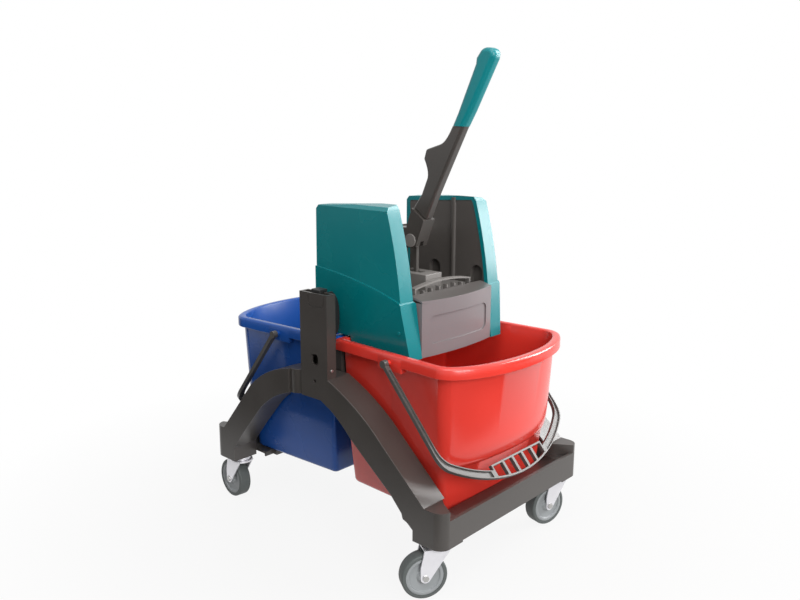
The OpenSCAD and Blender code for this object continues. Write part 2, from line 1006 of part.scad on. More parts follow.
// the bowed front panel with its bare recess and the sill that runs back from its top edge
module front_panel() {
    sill_front = 447;
    side = inner_half;
    recess = 2;
    return_x0 = 126;
    return_t = 2;
    centre_x = front_x - front_bow_r;
    color("#8f8688")
        difference() {
            union() {
                intersection() {
                    translate([centre_x, 0, press_z0])
                        difference() {
                            cylinder(r = front_bow_r, h = ledge_z - 4 - press_z0, $fn = 300);
                            translate([0, 0, -1])
                                cylinder(r = front_bow_r - 5, h = 200, $fn = 300);
                        }
                    block_at([120, -side, 300], [200, side, 500]);
                }
                intersection() {
                    slab_y(-side, side)
                        polygon([[130, sill_front + 2], [170, ledge_z - 7], [170, ledge_z - 4],
                            [130, sill_front + 6]]);
                    translate([centre_x, 0, 400])
                        cylinder(r = front_bow_r, h = 100, $fn = 300);
                }
                // the returns that run back along the cheeks
                intersection() {
                    for (s = [-1, 1])
                        scale_y(s)
                            block_at([return_x0, side - return_t, press_z0 + tray_t],
                                [200, side, ledge_z - 4]);
                    translate([centre_x, 0, 300])
                        cylinder(r = front_bow_r - 2, h = 200, $fn = 300);
                }
            }
            intersection() {
                slab_x(100, 200)
                    translate([0, 396])
                        round_rect(156, 48, 12);
                translate([centre_x, 0, 300])
                    difference() {
                        cylinder(r = front_bow_r + 20, h = 200, $fn = 300);
                        translate([0, 0, -1])
                            cylinder(r = front_bow_r - recess, h = 202, $fn = 300);
                    }
            }
        }
}

// the wall behind the mop and the wall across the rear
module chamber_wall() {
    color("#3f3c3a")
        block_at([tray_x0 - 4, -inner_half, press_z0], [tray_x0, inner_half, 430]);
}

module rear_wall() {
    wall_t = 5;
    wall_z1 = 540;
    shelf_z = sill_z + 14;
    color("#3f3c3a") {
        block_at([cheek_rear_x, -inner_half, shelf_z], [cheek_rear_x + wall_t, inner_half, wall_z1]);
        block_at([cheek_rear_x, -cheek_in + gap, ledge_z + gap],
            [cheek_rear_x + wall_t, cheek_in - gap, wall_z1]);
        block_at([cheek_rear_x, -inner_half, shelf_z], [tray_x0 - 4, inner_half, shelf_z + 4]);
    }
}

// the slotted tray the water drains through
module drain_tray() {
    slot_w = 6;
    slot_l = 48;
    pitch = 19;
    color("#3f3c3a")
        difference() {
            intersection() {
                block_at([tray_x0, -inner_half, press_z0], [200, inner_half, press_z0 + tray_t]);
                translate([front_x - front_bow_r, 0, 300])
                    cylinder(r = front_bow_r - 5, h = 200, $fn = 300);
            }
            for (row = [0, 1], i = [0:drain_slots - 1])
                translate([62 + row * 58, (i - (drain_slots - 1) / 2) * pitch, press_z0 - 1])
                    linear_extrude(tray_t + 2)
                        round_rect(slot_l, slot_w, slot_w / 2 - 0.2);
        }
}

// hangers: a bracket on the cheek that hooks over the tower's inner wall
module near_hanger() {
    plate_x1 = 34;
    rib_x1 = 4;
    hook_x0 = -8;
    hook_x1 = 14;
    hook_t = 5;
    foot_z = sill_z - 1;
    plate_z1 = tower_z - 4;
    back = -skirt_out - 0.2;
    lip_z0 = 424;
    lip_y0 = -half_w + wall + 4;
    lip_y1 = -tower_in - wall - gap;
    plate_y = -tower_in + gap;
    rib = concat([[plate_y, foot_z]], bend([-152, foot_z], [back, foot_z + 4], [back, 398]),
        bend([back, 410], [back, 440], [-154, plate_z1]), [[plate_y, plate_z1]]);
    color("#1f1f1f") {
        block_at([tower_x0, plate_y, foot_z], [plate_x1, -hanger_y, plate_z1]);
        block_at([hook_x0, plate_y, foot_z], [hook_x1, -hanger_y, tower_z + hook_t]);
        block_at([hook_x0, lip_y0, tower_z], [hook_x1, -hanger_y, tower_z + hook_t]);
        block_at([hook_x0, lip_y0, lip_z0], [hook_x1, lip_y1, tower_z + hook_t]);
        for (x = [tower_x0, rib_x1 - wall])
            slab_x(x, x + wall)
                polygon(rib);
    }
}

module far_hanger() {
    far()
        near_hanger();
}

module lever_axle() {
    color("#c9cac9")
        rod_y(lever_x, lever_z, lever_axle_r, -cheek_out + 5.5, cheek_out - 5.5);
}

module cheek_screws() {
    color("#03686a")
        for (s = [-1, 1])
            scale_y(s)
                at_cheek_screw()
                    screw(cheek_head_r, 1.5, cheek_screw_r, cheek_screw_l);
}

// lever: socket on the axle, arm with its catch, and grip
socket_half = 15;
hub_r = 17;
slot_half = 4.5;

module socket_plan() {
    polygon([[lever_x, lever_z - hub_r], [boss[0], boss[1] - 13], [69, 520], [87, 567], [59, 587],
        [47, 552], [lever_x, lever_z + hub_r]]);
    translate([lever_x, lever_z])
        circle(hub_r);
    translate(boss)
        circle(13);
}

module lever_socket() {
    color("#3f3b37")
        difference() {
            slab_y(-socket_half, socket_half)
                socket_plan();
            rod_y(lever_x, lever_z, lever_axle_r + run, -50, 50);
            rod_y(boss[0], boss[1], pin_r, -50, 50);
            // the slot the link hangs in
            slab_y(-slot_half, slot_half)
                translate(boss)
                    polygon([[-22, -40], [30, -40], [14, -2], [9, 4], [9, 13], [-22, 13]]);
        }
}

module lever_arm() {
    color("#3f3b37")
        slab_y(-arm_bar_t / 2, arm_bar_t / 2)
            polygon(concat([[59, 587], [87, 567], [108, 614], [165, 726], [142, 727]],
                bend([142, 727], [128, 700], [116, 697], 5), [[86, 688]],
                bend([81, 672], [92, 652], [89, 640], 5), [[77, 612]]));
}

module lever_grip() {
    grip_t = 24;
    color("#108a80")
        slab_y(-grip_t / 2, grip_t / 2)
            polygon(concat([[141.5, 727.4], [166, 726.2], [180, 750]],
                bend([222, 830], [228, 848], [206, 848], 5), [[198, 848], [187, 833], [186, 824],
                [152, 748]]));
}

// the pin through the socket, with a broad round cap on either side
module crank_pin() {
    cap_r = 12;
    cap_t = 3;
    color("#7b7774") {
        rod_y(boss[0], boss[1], pin_r, -socket_half - 1, socket_half + 1);
        for (s = [-1, 1])
            scale_y(s)
                rod_y(boss[0], boss[1], cap_r, socket_half + 0.1, socket_half + 0.1 + cap_t);
    }
}

module link() {
    eye_r = 8;
    bar_w = 7;
    half_t = 3.5;
    color("#3f3c3a")
        slab_y(-half_t, half_t)
            difference() {
                union() {
                    translate(boss)
                        circle(eye_r);
                    translate([boss[0], link_foot_z])
                        circle(eye_r);
                    translate([boss[0] - bar_w / 2, link_foot_z])
                        square([bar_w, link_l]);
                }
                translate(boss)
                    circle(pin_r + run);
                translate([boss[0], link_foot_z])
                    circle(pin_r);
            }
}

module link_pin() {
    color("#c9cac9")
        rod_y(boss[0], link_foot_z, pin_r, -16, 16);
}

// press plate: a ribbed slab notched for the guide ribs, with a slotted lug for the link
module press_plate() {
    plate_half = 102;
    plate_t = 8;
    lug_half = 22;
    lug_in = 7;
    lug_top = 474;
    notch_half = 5;
    slot_back = 17;
    slot_rise = 3;
    color("#7b7774")
        difference() {
            union() {
                block_at([tray_x0 + 4, -plate_half, plate_z], [118, plate_half, plate_z + plate_t]);
                block_at([tray_x0 + 4, -lug_half, plate_z + plate_t], [99, lug_half, lug_top]);
            }
            for (s = [-1, 1])
                scale_y(s)
                    block_at([guide_x - notch_half, chamber_half - 1, plate_z - 1],
                        [guide_x + notch_half, plate_half + 1, plate_z + plate_t + 1]);
            block_at([tray_x0 + 3, -lug_in, plate_z + plate_t], [75, lug_in, lug_top + 1]);
            // the slot that lets the pin run to and fro
            slab_y(-lug_half - 1, lug_half + 1)
                translate([boss[0] - slot_back / 2, link_foot_z])
                    square([slot_back + 2 * pin_r + 2, 2 * (pin_r + slot_rise)], center = true);
        }
}

module press_comb() {
    comb_half = 76;
    rail_t = 3;
    comb_z = plate_z + 8;
    arch_r = 400;
    comb_top = 468;
    pitch = 2 * (comb_half - rail_t) / comb_gaps;
    color("#8a8683")
        slab_x(112, 122)
            difference() {
                intersection() {
                    translate([-comb_half, comb_z])
                        square([2 * comb_half, 40]);
                    translate([0, comb_top - arch_r])
                        circle(arch_r, $fn = 200);
                }
                for (i = [0:comb_gaps - 1])
                    intersection() {
                        translate([-comb_half + rail_t + i * pitch + 1.5, comb_z + rail_t])
                            square([pitch - 3, 40]);
                        translate([0, comb_top - arch_r])
                            circle(arch_r - rail_t, $fn = 200);
                    }
            }
}

near_front_arm();
near_rear_arm();
far_front_arm();
far_rear_arm();
near_tower();
far_tower();
front_beam();
rear_beam();
cross_beam();
block_fn();
block_ff();
block_rn();
block_rf();
frame_screws();
at_fn() caster_stem();  // stem_fn
at_ff() caster_stem();  // stem_ff
at_rn() caster_stem();  // stem_rn
at_rf() caster_stem();  // stem_rf
at_fn() caster_fork();  // fork_fn
at_ff() caster_fork();  // fork_ff
at_rn() caster_fork();  // fork_rn
at_rf() caster_fork();  // fork_rf
at_fn() caster_axle();  // axle_fn
at_ff() caster_axle();  // axle_ff
at_rn() caster_axle();  // axle_rn
at_rf() caster_axle();  // axle_rf
at_fn() caster_hub();  // hub_fn
at_ff() caster_hub();  // hub_ff
at_rn() caster_hub();  // hub_rn
at_rf() caster_hub();  // hub_rf
at_fn() caster_tyre();  // tyre_fn
at_ff() caster_tyre();  // tyre_ff
at_rn() caster_tyre();  // tyre_rn
at_rf() caster_tyre();  // tyre_rf
red_bucket();
red_bail();
blue_bucket();
blue_bail();
near_cheek();
far_cheek();
near_panel();
far_panel();
front_panel();
chamber_wall();
rear_wall();
drain_tray();
near_hanger();
far_hanger();
lever_axle();
cheek_screws();
lever_socket();
lever_arm();
lever_grip();
crank_pin();
link();
link_pin();
press_plate();
press_comb();
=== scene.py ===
"""The looks of a double mop bucket trolley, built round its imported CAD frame.

Metres, +Z up, origin on the floor under the middle of the frame. Sizes of the trolley are written in
millimetres, and places on the stage round it in metres.
"""

import json
import math

import bmesh
import bpy
from mathutils import Matrix, Vector


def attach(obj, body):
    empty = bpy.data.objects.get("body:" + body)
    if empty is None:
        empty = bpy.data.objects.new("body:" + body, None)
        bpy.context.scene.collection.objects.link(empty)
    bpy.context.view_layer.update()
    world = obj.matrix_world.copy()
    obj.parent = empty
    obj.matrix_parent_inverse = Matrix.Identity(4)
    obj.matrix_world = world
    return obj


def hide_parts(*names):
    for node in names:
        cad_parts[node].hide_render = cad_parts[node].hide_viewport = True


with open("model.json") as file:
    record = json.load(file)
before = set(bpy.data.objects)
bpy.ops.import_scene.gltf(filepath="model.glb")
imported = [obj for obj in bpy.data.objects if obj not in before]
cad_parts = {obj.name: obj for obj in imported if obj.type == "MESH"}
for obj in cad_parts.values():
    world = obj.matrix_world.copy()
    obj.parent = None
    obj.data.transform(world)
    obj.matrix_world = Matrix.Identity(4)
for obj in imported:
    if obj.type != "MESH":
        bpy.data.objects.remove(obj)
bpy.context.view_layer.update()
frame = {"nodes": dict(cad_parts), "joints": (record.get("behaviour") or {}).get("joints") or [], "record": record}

MM = 0.001
CASTERS = ("fn", "ff", "rn", "rf")
JOINTS = {joint["name"]: joint for joint in frame["joints"]}
NODE_SLOT = {part["node"]: part["material_slot"] for part in frame["record"]["subparts"]}
NODE_BODY = {node: body for body, nodes in frame["record"]["behaviour"]["bodies"].items()
             for node in nodes}

# outlines of a bucket, as in the CAD: inner end x, half width there, corner x, half width there, apex x
RIM = (1.5, 150, 250, 163, 309)
UPPER = (14.5, 141, 246, 153, 298)
STEP = (18, 134, 243, 147, 288)
EDGE = (18.5, 133.5, 242, 146, 281)
WAIST = (19, 133, 240, 144, 266)
FOOT = (22, 127, 236, 137, 246)

# a bucket's bowed end: half the angle of its arc, and the share of the arc that each corner takes up
BOW_TURN = math.radians(76)
BOW_CORNER = 0.065

# how far from the corners of an outline the rounding starts, at the inner end and at the bowed end
INNER_CUT = 6
OUTER_CUT = 13

# a bucket's heights, wall and roundings
BUCKET_Z0 = 103
STEP_Z = 228
EDGE_Z = STEP_Z - 22
WAIST_Z = STEP_Z - 36
RIM_Z = 368
SKIRT_H = 19
BUCKET_WALL = 3
FOOT_ROUND = 7
RIM_ROUND = 4

# ears under a bucket's rim, and the pins that its bail turns on
EAR_HALF = 27
EAR_IN = 145
EAR_DROP = 14
EAR_PROUD = 0.2
BAIL_X = 138
BAIL_Z = 354
BAIL_PIN_R = 4
BAIL_PIN_END = 171
BAIL_PIN_ROOT = 1

# planes where the frame's mouldings run on into one another
ARM_IN = 148
BLOCK_X0 = 228
BLOCK_Z1 = 152
TOWER_X = (-28, 38)
ARM_TOP_Z = 314

# casters
WHEEL_D = 75
WHEEL_W = 23
AXLE_R = 4
TYRE_T = 6.5
TYRE_SHOULDER = 3
HUB_PLAY = 0.1
TYRE_PLAY = 0.2
WEB_DEPTH = 3.2

# lever
SOCKET_HALF = 15
GRIP_Z = 726.7
GRIP_Z_PLAY = 1.5

# press comb
COMB_HALF = 76
COMB_X = (112, 122)
COMB_Z0 = 444
COMB_TOP = 468
COMB_ARCH_R = 400
COMB_GAPS = 7
COMB_RAIL = 3
COMB_TOOTH = 3
COMB_TOOTH_INSET = 0.5
COMB_SINK = 1
COMB_EDGE = 0.7

# edges sharper than this many degrees are rounded, to these radii
SHARP_EDGE = 32
PIN_EDGE = 0.5
STEM_EDGE = 0.6
FINE_EDGE = 0.8
MOULDED_EDGE = 1.2
TOWER_EDGE = 1.6
HOOK_EDGE = 1.8
SOCKET_EDGE = 2
CHEEK_EDGE = 2.2
BLOCK_EDGE = 2.5
LEVER_EDGE = 3
LEVER_BROAD_EDGE = 5
ARCH_BROAD_EDGE = 9
GRIP_EDGE = 9

# a Mix node's colour sockets, whose names repeat: the two tones and the result
TONE_A, TONE_B, TONE = 6, 7, 2


def linear(hex_colour):
    """An sRGB hex colour as linear RGBA."""
    channels = [int(hex_colour[i:i + 2], 16) / 255 for i in (1, 3, 5)]
    return [c / 12.92 if c <= 0.04045 else ((c + 0.055) / 1.055) ** 2.4 for c in channels] + [1]


def add(tree, kind, links=None, **settings):
    """Adds a node. links maps an input's name or number to a value or to another node's output."""
    node = tree.nodes.new(kind)
    for key, value in settings.items():
        setattr(node, key, value)
    for key, value in (links or {}).items():
        if isinstance(value, bpy.types.NodeSocket):
            tree.links.new(value, node.inputs[key])
        else:
            node.inputs[key].default_value = value
    return node


def bare(name):
    """A material without nodes but for its Object coordinates: the material, its tree and these."""
    material = bpy.data.materials.new(name)
    material.use_nodes = True
    tree = material.node_tree
    tree.nodes.clear()
    return material, tree, add(tree, "ShaderNodeTexCoord").outputs["Object"]


def surface(name, roughness, metallic=0, ior=1.5):
    """A material with one shader: the material, its tree, the shader and its Object coordinates."""
    material, tree, place = bare(name)
    shader = add(tree, "ShaderNodeBsdfPrincipled", {
        "Metallic": metallic, "IOR": ior, "Roughness": roughness})
    add(tree, "ShaderNodeOutputMaterial", {"Surface": shader.outputs["BSDF"]})
    return material, tree, shader, place


# moulded plastic: the size of its drift of tone, the depth of its grain, how its polish drifts either
# way, and the part of a noise's range that most of it lies in
DRIFT_MM = 90
GRAIN_DEPTH_MM = 0.2
POLISH_DRIFT = (-0.02, 0.03)
NOISE_SPAN = (0.3, 0.7)
# how far up a face looks, as the z of its normal, where the painted shade on faces that look up starts and where
# it is full
TOP_SHADE_FACING = (0.85, 0.97)


def moulded(name, colour, shade, roughness, grain, relief, ior=1.45, painted_top_shade=None):
    """Moulded plastic: a faint drift of tone and a spark-eroded grain of grain mm.

    A tool's real grain, about 0.1 mm, is too fine to show, so grain draws it about ten times as coarse.
    The last argument is painted shade: a darker tone blended onto faces that look up.
    """
    material, tree, shader, place = surface(name, roughness, ior=ior)
    cloud = add(tree, "ShaderNodeTexNoise", {
        "Vector": place, "Scale": 1 / (DRIFT_MM * MM), "Detail": 3.0})
    tone = add(tree, "ShaderNodeMix", {
        0: cloud.outputs["Fac"], TONE_A: linear(shade), TONE_B: linear(colour)}, data_type="RGBA")
    # painted shade: faces that look up are blended towards a darker tone
    if painted_top_shade:
        normal = add(tree, "ShaderNodeNewGeometry").outputs["Normal"]
        facing = add(tree, "ShaderNodeSeparateXYZ", {0: normal})
        top_shade_share = add(tree, "ShaderNodeMapRange", {
            "Value": facing.outputs["Z"], "From Min": TOP_SHADE_FACING[0], "From Max": TOP_SHADE_FACING[1]})
        tone = add(tree, "ShaderNodeMix", {
            0: top_shade_share.outputs[0], TONE_A: tone.outputs[TONE], TONE_B: linear(painted_top_shade)}, data_type="RGBA")
    tree.links.new(tone.outputs[TONE], shader.inputs["Base Color"])
    polish = add(tree, "ShaderNodeMapRange", {
        "Value": cloud.outputs["Fac"], "From Min": NOISE_SPAN[0], "From Max": NOISE_SPAN[1],
        "To Min": roughness + POLISH_DRIFT[0], "To Max": roughness + POLISH_DRIFT[1]})
    tree.links.new(polish.outputs[0], shader.inputs["Roughness"])
    spark = add(tree, "ShaderNodeTexNoise", {
        "Vector": place, "Scale": 1 / (grain * MM), "Detail": 2.0})
    skin = add(tree, "ShaderNodeBump", {
        "Height": spark.outputs["Fac"], "Strength": relief, "Distance": GRAIN_DEPTH_MM * MM})
    tree.links.new(skin.outputs["Normal"], shader.inputs["Normal"])
    return material


# steel: how metallic its skin is, the size of its clouds, how long its marks are drawn out along Z, and
# how far its polish varies either way
STEEL_METALLIC = 0.85
CLOUD_MM = 14
MARK_STRETCH = 20
MARK_POLISH = (-0.08, 0.12)


def plated(name, colour, shade, roughness, brush):
    """Plated or turned steel: cloudy tone and fine tool marks.

    Real marks, about 0.05 mm wide, are too fine to show, so they are drawn brush mm wide.
    """
    material, tree, shader, place = surface(name, roughness, metallic=STEEL_METALLIC)
    cloud = add(tree, "ShaderNodeTexNoise", {
        "Vector": place, "Scale": 1 / (CLOUD_MM * MM), "Detail": 4.0})
    tone = add(tree, "ShaderNodeMix", {
        0: cloud.outputs["Fac"], TONE_A: linear(shade), TONE_B: linear(colour)}, data_type="RGBA")
    tree.links.new(tone.outputs[TONE], shader.inputs["Base Color"])
    along = add(tree, "ShaderNodeMapping", {"Vector": place, "Scale": (1, 1, 1 / MARK_STRETCH)})
    marks = add(tree, "ShaderNodeTexNoise", {
        "Vector": along.outputs[0], "Scale": 1 / (brush * MM), "Detail": 2.0})
    polish = add(tree, "ShaderNodeMapRange", {
        "Value": marks.outputs["Fac"],
        "To Min": roughness + MARK_POLISH[0], "To Max": roughness + MARK_POLISH[1]})
    tree.links.new(polish.outputs[0], shader.inputs["Roughness"])
    return material


# dark grey polypropylene of the frame, moulded in a sparked tool: a soft dull sheen
FRAME_PP = moulded("dark_grey_polypropylene", "#45413e", "#3a3633", 0.36,
                   grain=1.1, relief=0.08, ior=1.6)
# red polypropylene, moulded in a smooth tool: a clear sheen with soft broad lights
RED_PP = moulded("red_polypropylene", "#e03c31", "#d7362c", 0.20, grain=1.6, relief=0.015, ior=1.6)
# blue polypropylene, moulded in the same smooth tool: the same sheen, weaker on the dark colour
BLUE_PP = moulded("blue_polypropylene", "#1f57ae", "#1b4e9c", 0.26, grain=1.6, relief=0.02, ior=1.4)
# teal ABS covers, moulded in a polished tool: glossy flats with a faint orange peel, which is too fine
# to show and is drawn as waves of 6 mm
TEAL_ABS = moulded("teal_abs", "#027a7f", "#027177", 0.26, grain=6, relief=0.012)
# teal ABS of the grip, moulded in a lightly sparked tool: a little lighter and duller than the covers
GRIP_ABS = moulded("teal_grip_abs", "#058086", "#047a80", 0.30, grain=1.2, relief=0.05)
# dark glass-filled nylon inside the press, moulded: dull, with a grain that shows
PANEL_PA = moulded("dark_nylon", "#524e4b", "#474340", 0.40, grain=1.0, relief=0.10)
# warm grey ABS front, moulded smooth: a satin face, with painted shade that darkens its faces that look up
FRONT_ABS = moulded("warm_grey_abs", "#7f7779", "#767072", 0.30,
                    grain=1.4, relief=0.03, painted_top_shade="#565250")
# mid grey glass-filled nylon of plate and comb, moulded: dull and even
PRESS_PA = moulded("mid_grey_nylon", "#7d7976", "#6f6b68", 0.44, grain=1.0, relief=0.08)
# black nylon hooks, moulded: dull, with hardly any tone
HOOK_PA = moulded("black_nylon", "#232323", "#1b1b1b", 0.40, grain=1.0, relief=0.06)
# grey polypropylene bails, moulded: satin, with thin lights along their edges
BAIL_PP = moulded("grey_polypropylene", "#545250", "#494745", 0.38, grain=1.2, relief=0.05)
# pale grey polypropylene hubs, moulded: cool and dull
HUB_PP = moulded("pale_grey_polypropylene", "#9a9ea0", "#8f9395", 0.42, grain=1.2, relief=0.06)
# grey thermoplastic rubber tyres, moulded: matt, with the strongest grain
TYRE_TPR = moulded("grey_thermoplastic_rubber", "#5c6160", "#535857", 0.55, grain=0.9, relief=0.14)
# zinc plate on pressed steel: pale, cloudy and softly bright
ZINC = plated("zinc_plated_steel", "#eae9ed", "#dbdade", 0.42, brush=0.5)
# turned steel of pins and screws: darker than the plate, with a tighter shine
STEEL = plated("turned_steel", "#bdbcba", "#a9a8a6", 0.34, brush=0.3)

SLOT_FINISH = {
    "frame_plastic": FRAME_PP, "red_plastic": RED_PP, "blue_plastic": BLUE_PP,
    "bail_plastic": BAIL_PP, "teal_plastic": TEAL_ABS, "grip_plastic": GRIP_ABS,
    "dark_plastic": PANEL_PA, "grey_plastic": FRONT_ABS, "press_plastic": PRESS_PA,
    "black_plastic": HOOK_PA, "zinc_steel": ZINC, "bright_steel": STEEL,
    "wheel_plastic": HUB_PP, "tyre_rubber": TYRE_TPR}


def finish_of(node):
    """The material of a CAD node's slot."""
    return SLOT_FINISH[NODE_SLOT[node]]


def piece(name, bm, material, sharp=35):
    """A finished object from a bmesh, smooth but for edges sharper than sharp degrees."""
    mesh = bpy.data.meshes.new(name)
    bm.to_mesh(mesh)
    bm.free()
    mesh.shade_smooth()
    mesh.set_sharp_from_angle(angle=math.radians(sharp))
    mesh.materials.append(material)
    obj = bpy.data.objects.new(name, mesh)
    bpy.context.collection.objects.link(obj)
    return obj


def stand_for(obj, node):
    """obj takes the place of a CAD node, on its body."""
    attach(obj, NODE_BODY[node])
    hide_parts(node)


def keep_flats(obj):
    """Holds the shading of large flats steady next to rounded edges."""
    obj.modifiers.new("flats", "WEIGHTED_NORMAL").keep_sharp = True


def sharp_edges(bm):
    """The edges whose two faces meet at more than SHARP_EDGE degrees."""
    limit = math.radians(SHARP_EDGE)
    return [e for e in bm.edges if len(e.link_faces) == 2 and e.calc_face_angle(0) > limit]


def bevel(bm, edges, width, segments):
    """Rounds edges to width mm."""
    if edges:
        bmesh.ops.bevel(bm, geom=edges, offset=width * MM, offset_type="OFFSET", segments=segments,
                        profile=0.5, affect="EDGES", clamp_overlap=True)


# how close the corners of a CAD node's triangles lie to be one, and how flat its faces to be one
WELD_MM = 0.002
FLAT_DEGREES = 0.5


def rounded_copy(node, width, segments=2, wide=None, wide_width=0, wide_first=False, flush=None,
                 split_z=None):
    """A CAD node's form with its sharp edges rounded to width mm, and to wide_width where wide says.

    wide_first rounds the wide edges before the others. Edges where flush says that the form runs on
    into its neighbour stay as they are; split_z is a height in mm at which the form's edges are
    divided first.
    """
    bm = bmesh.new()
    bm.from_mesh(frame["nodes"][node].data)
    bmesh.ops.remove_doubles(bm, verts=bm.verts, dist=WELD_MM * MM)
    bmesh.ops.dissolve_limit(
        bm, angle_limit=math.radians(FLAT_DEGREES), verts=bm.verts, edges=bm.edges)
    if split_z:
        bmesh.ops.bisect_plane(bm, geom=list(bm.verts) + list(bm.edges) + list(bm.faces),
                               plane_co=(0, 0, split_z * MM), plane_no=(0, 0, 1))
    rounds = [(False, width, segments), (True, wide_width, segments + 3)]
    if wide_first:
        rounds.reverse()
    for broad, size, steps in rounds:
        free = [e for e in sharp_edges(bm) if not (flush and flush(e))]
        bevel(bm, [e for e in free if bool(wide and wide(e)) == broad], size, steps)
    obj = piece(node + "_form", bm, finish_of(node))
    keep_flats(obj)
    stand_for(obj, node)


def curve_through(a, b, c, n):
    """n steps along a quadratic curve from a to c, pulled towards b; the last point is left out."""
    points = []
    for i in range(n):
        t = i / n
        points.append(tuple((1 - t) ** 2 * a[k] + 2 * t * (1 - t) * b[k] + t * t * c[k] for k in (0, 1)))
    return points


def narrowed(ring, d):
    """A bucket's outline drawn in by d mm all round."""
    return (ring[0] + d, ring[1] - d, ring[2] - d, ring[3] - d, ring[4] - d)


def between(a, b, t):
    """The outline or point that lies the share t of the way from a to b."""
    return tuple(p + (q - p) * t for p, q in zip(a, b))


def bow_point(ring, t):
    """The point at the share t along the arc of an outline's bowed end."""
    a = (2 * t - 1) * BOW_TURN
    rise = (math.cos(a) - math.cos(BOW_TURN)) / (1 - math.cos(BOW_TURN))
    return (ring[2] + (ring[4] - ring[2]) * rise, ring[3] * math.sin(a) / math.sin(BOW_TURN))


def bucket_ring(ring, cut_in):
    """A bucket's section: tapered sides, round corners and a bowed outer end, as x and y in mm."""
    inner_steps, side_steps, outer_steps, bow_steps = 8, 8, 14, 24
    x0, y0, x1, y1 = ring[:4]
    slope = (y1 - y0) / (x1 - x0)
    side_a = (x0 + cut_in, -y0 - slope * cut_in)
    side_b = (x1 - OUTER_CUT, -y1 + slope * OUTER_CUT)
    near = curve_through((x0, -y0 + cut_in), (x0, -y0), side_a, inner_steps)
    near += [between(side_a, side_b, i / side_steps) for i in range(side_steps)]
    near += curve_through(side_b, (x1, -y1), bow_point(ring, BOW_CORNER), outer_steps)
    bow = [bow_point(ring, BOW_CORNER + (1 - 2 * BOW_CORNER) * i / bow_steps)
           for i in range(bow_steps + 1)]
    return near + bow + [(x, -y) for x, y in reversed(near)]


def bucket_levels():
    """A bucket's sections in turn, each an outline, its height and the cut of its inner corners.

    They run from the foot up the outside, over the rim and down the inside to the floor.
    """
    t = BUCKET_WALL
    foot_z = BUCKET_Z0 + FOOT_ROUND
    skirt = RIM_Z - SKIRT_H
    rim_side = RIM_Z - RIM_ROUND
    soft = between(WAIST, EDGE, 0.7)
    foot = [
        (narrowed(FOOT, FOOT_ROUND), BUCKET_Z0, 6), (narrowed(FOOT, 3.6), BUCKET_Z0 + 1.2, 8),
        (narrowed(FOOT, 1.2), BUCKET_Z0 + 3.6, 12), (FOOT, foot_z, 12),
        (between(FOOT, WAIST, 0.5), (foot_z + WAIST_Z) / 2, 9)]
    outside = [
        (WAIST, WAIST_Z), (between(WAIST, soft, 0.4), WAIST_Z + 2.5), (soft, WAIST_Z + 7),
        (between(soft, EDGE, 0.75), EDGE_Z - 3), (EDGE, EDGE_Z),
        (between(EDGE, STEP, 0.42), EDGE_Z + 7), (between(EDGE, STEP, 0.77), EDGE_Z + 14),
        (STEP, STEP_Z), (between(STEP, UPPER, 0.12), STEP_Z + 15),
        (UPPER, RIM_Z - 6), (narrowed(UPPER, -2), rim_side)]
    hollow_skirt = [
        (narrowed(RIM, t), rim_side), (narrowed(RIM, t), skirt + 1), (narrowed(RIM, t - 1), skirt),
        (narrowed(RIM, 1), skirt), (RIM, skirt + 1)]
    rim = [
        (RIM, rim_side), (narrowed(RIM, 0.8), RIM_Z - 1.6), (narrowed(RIM, 2.2), RIM_Z - 0.4),
        (narrowed(RIM, RIM_ROUND), RIM_Z), (narrowed(UPPER, t - 2), RIM_Z),
        (narrowed(UPPER, t - 0.5), RIM_Z - 1), (narrowed(UPPER, t), RIM_Z - 3)]
    inside = [
        (narrowed(STEP, t), STEP_Z), (narrowed(EDGE, t), EDGE_Z), (narrowed(soft, t), WAIST_Z + 7),
        (narrowed(WAIST, t), WAIST_Z)]
    inner_foot = [
        (narrowed(FOOT, t), foot_z + 5, 12), (narrowed(FOOT, t + 2), foot_z, 10),
        (narrowed(FOOT, t + 7), BUCKET_Z0 + 3.5, 6)]
    sides = [(ring, z, INNER_CUT) for ring, z in outside + hollow_skirt + rim + inside]
    return foot + sides + inner_foot


def loft(bm, sections):
    """Joins sections of equal length into a closed skin with flat ends."""
    rows = [[bm.verts.new(p) for p in section] for section in sections]
    n = len(rows[0])
    for low, high in zip(rows, rows[1:]):
        for i in range(n):
            k = (i + 1) % n
            bm.faces.new((low[i], low[k], high[k], high[i]))
    bm.faces.new(list(reversed(rows[0])))
    bm.faces.new(rows[-1])


def block(bm, low, high, width):
    """A box between two corners in mm, its edges rounded to width mm."""
    made = bmesh.ops.create_cube(bm, size=1)["verts"]
    for v in made:
        v.co = Vector([(low[k] + high[k]) / 2 + v.co[k] * (high[k] - low[k]) for k in range(3)]) * MM
    bevel(bm, list({e for v in made for e in v.link_edges}), width, 3)


def rod(bm, centre, axis, radius, length, width, steps=32):
    """A round bar in mm, centred, with its ends' edges rounded to width mm."""
    turn = Vector((0, 0, 1)).rotation_difference(Vector(axis)).to_matrix().to_4x4()
    made = bmesh.ops.create_cone(
        bm, cap_ends=True, segments=steps, radius1=radius * MM, radius2=radius * MM, depth=length * MM,
        matrix=Matrix.Translation(Vector(centre) * MM) @ turn)["verts"]
    limit = math.radians(SHARP_EDGE)
    rims = {e for v in made for e in v.link_edges if e.calc_face_angle(0) > limit}
    bevel(bm, list(rims), width, 3)


def ear_out(x):
    """The outer face of an ear, just proud of the rim's tapered side."""
    slope = (RIM[3] - RIM[1]) / (RIM[2] - RIM[0])
    return RIM[1] + (x - RIM[0]) * slope + EAR_PROUD


